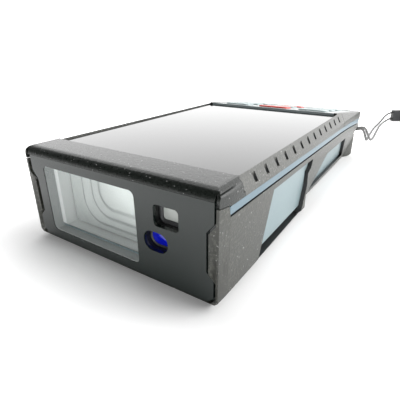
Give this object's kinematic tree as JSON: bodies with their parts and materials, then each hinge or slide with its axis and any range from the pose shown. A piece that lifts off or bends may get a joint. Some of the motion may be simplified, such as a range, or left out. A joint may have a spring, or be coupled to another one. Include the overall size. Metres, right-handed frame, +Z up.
{
  "type": "hand-held laser distance meter",
  "caption": "Hand-held laser ranging unit with camera, display, keypad, fold-out stop pin, tripod thread and wrist strap.",
  "frame": {"origin": "centre of the footprint, on the surface the unit lies on", "axes": "+Z up through the display, +Y from the lens end to the keypad end, +X to the right grip seen from the lens end"},
  "size_m": [0.1445, 0.2662, 0.028],
  "materials": {
    "blue_housing": "fine satin texture",
    "black_housing": "satin",
    "rubber": "fine grained soft-touch",
    "front_gloss": "polished",
    "clear_window": "polished clear",
    "blue_optic": "blue anti-reflection coating",
    "dark_plastic": "matte",
    "brass": "machined",
    "display_glass": "polished, back printed black",
    "board_green": "solder mask",
    "steel": "plain",
    "black_screw": "black oxide",
    "fascia": "satin",
    "red_key": "satin silicone",
    "grey_key": "satin silicone",
    "battery_wrap": "shrink film",
    "label_foil": "satin film",
    "backlight_white": "diffuser",
    "flex_amber": "polyimide film",
    "strap_black": "braided polyester"
  },
  "bodies": {
    "housing": {"lower_shell": "blue_housing", "accent_band": "blue_housing", "upper_shell": "black_housing", "housing_seal": "rubber", "lower_overmould": "rubber", "front_bumper": "rubber", "grip_rail_right": "rubber", "grip_rail_left": "rubber", "tail_frame": "rubber", "front_plate": "front_gloss", "receiver_window": "clear_window", "window_gasket": "rubber", "camera_window": "clear_window", "camera_module": "dark_plastic", "laser_lens": "blue_optic", "laser_barrel": "brass", "laser_diode": "brass", "receiver_lens": "clear_window", "optics_carrier": "dark_plastic", "receiver_board": "board_green", "receiver_sensor": "dark_plastic", "display_glass": "display_glass", "display_gasket": "rubber", "lcd_module": "dark_plastic", "backlight": "backlight_white", "display_flex": "flex_amber", "main_board": "board_green", "board_screws": "steel", "shield_can": "steel", "buzzer": "dark_plastic", "keypad_fascia": "fascia", "keypad_board": "board_green", "key_domes": "steel", "battery_pack": "battery_wrap", "battery_pad": "rubber", "usb_socket": "steel", "tripod_insert": "brass", "pin_axle": "steel", "strap_bar": "steel", "housing_screws": "black_screw", "rating_label": "label_foil", "strap_cord": "strap_black", "strap_slider": "strap_black", "wrist_loop": "strap_black"},
    "measure_key": {"measure_key": "red_key"},
    "soft_key_left": {"soft_key_left": "grey_key"},
    "soft_key_right": {"soft_key_right": "grey_key"},
    "minus_key": {"minus_key": "grey_key"},
    "function_key": {"function_key": "grey_key"},
    "plus_key": {"plus_key": "grey_key"},
    "clear_key": {"clear_key": "grey_key"},
    "power_key": {"power_key": "grey_key"},
    "camera_key": {"camera_key": "grey_key"},
    "stop_pin": {"stop_pin": "dark_plastic"},
    "usb_flap": {"usb_flap": "blue_housing"}
  },
  "joints": [
    {"name": "measure_key_press", "type": "slide", "parent": "housing", "child": "measure_key", "axis": [0, -0.1201, -0.9928], "range_m": [0, 0.0004], "stiffness_N_per_m": 400, "springref_m": -0.0005},
    {"name": "soft_key_left_press", "type": "slide", "parent": "housing", "child": "soft_key_left", "axis": [0, -0.1201, -0.9928], "range_m": [0, 0.0004], "stiffness_N_per_m": 400, "springref_m": -0.0005},
    {"name": "soft_key_right_press", "type": "slide", "parent": "housing", "child": "soft_key_right", "axis": [0, -0.1201, -0.9928], "range_m": [0, 0.0004], "stiffness_N_per_m": 400, "springref_m": -0.0005},
    {"name": "minus_key_press", "type": "slide", "parent": "housing", "child": "minus_key", "axis": [0, -0.1201, -0.9928], "range_m": [0, 0.0004], "stiffness_N_per_m": 400, "springref_m": -0.0005},
    {"name": "function_key_press", "type": "slide", "parent": "housing", "child": "function_key", "axis": [0, -0.1201, -0.9928], "range_m": [0, 0.0004], "stiffness_N_per_m": 400, "springref_m": -0.0005},
    {"name": "plus_key_press", "type": "slide", "parent": "housing", "child": "plus_key", "axis": [0, -0.1201, -0.9928], "range_m": [0, 0.0004], "stiffness_N_per_m": 400, "springref_m": -0.0005},
    {"name": "clear_key_press", "type": "slide", "parent": "housing", "child": "clear_key", "axis": [0, -0.1201, -0.9928], "range_m": [0, 0.0004], "stiffness_N_per_m": 400, "springref_m": -0.0005},
    {"name": "power_key_press", "type": "slide", "parent": "housing", "child": "power_key", "axis": [0, -0.1201, -0.9928], "range_m": [0, 0.0004], "stiffness_N_per_m": 400, "springref_m": -0.0005},
    {"name": "camera_key_press", "type": "slide", "parent": "housing", "child": "camera_key", "axis": [0, -0.1201, -0.9928], "range_m": [0, 0.0004], "stiffness_N_per_m": 400, "springref_m": -0.0005},
    {"name": "stop_pin_fold", "type": "hinge", "parent": "housing", "child": "stop_pin", "pos_m": [0, 0.067, 0.0032], "axis": [1, 0, 0], "range_deg": [0, 180]},
    {"name": "usb_flap_open", "type": "hinge", "parent": "housing", "child": "usb_flap", "pos_m": [-0.02985, -0.0365, 0.0105], "axis": [0, 0, 1], "range_deg": [0, 105]}
  ]
}
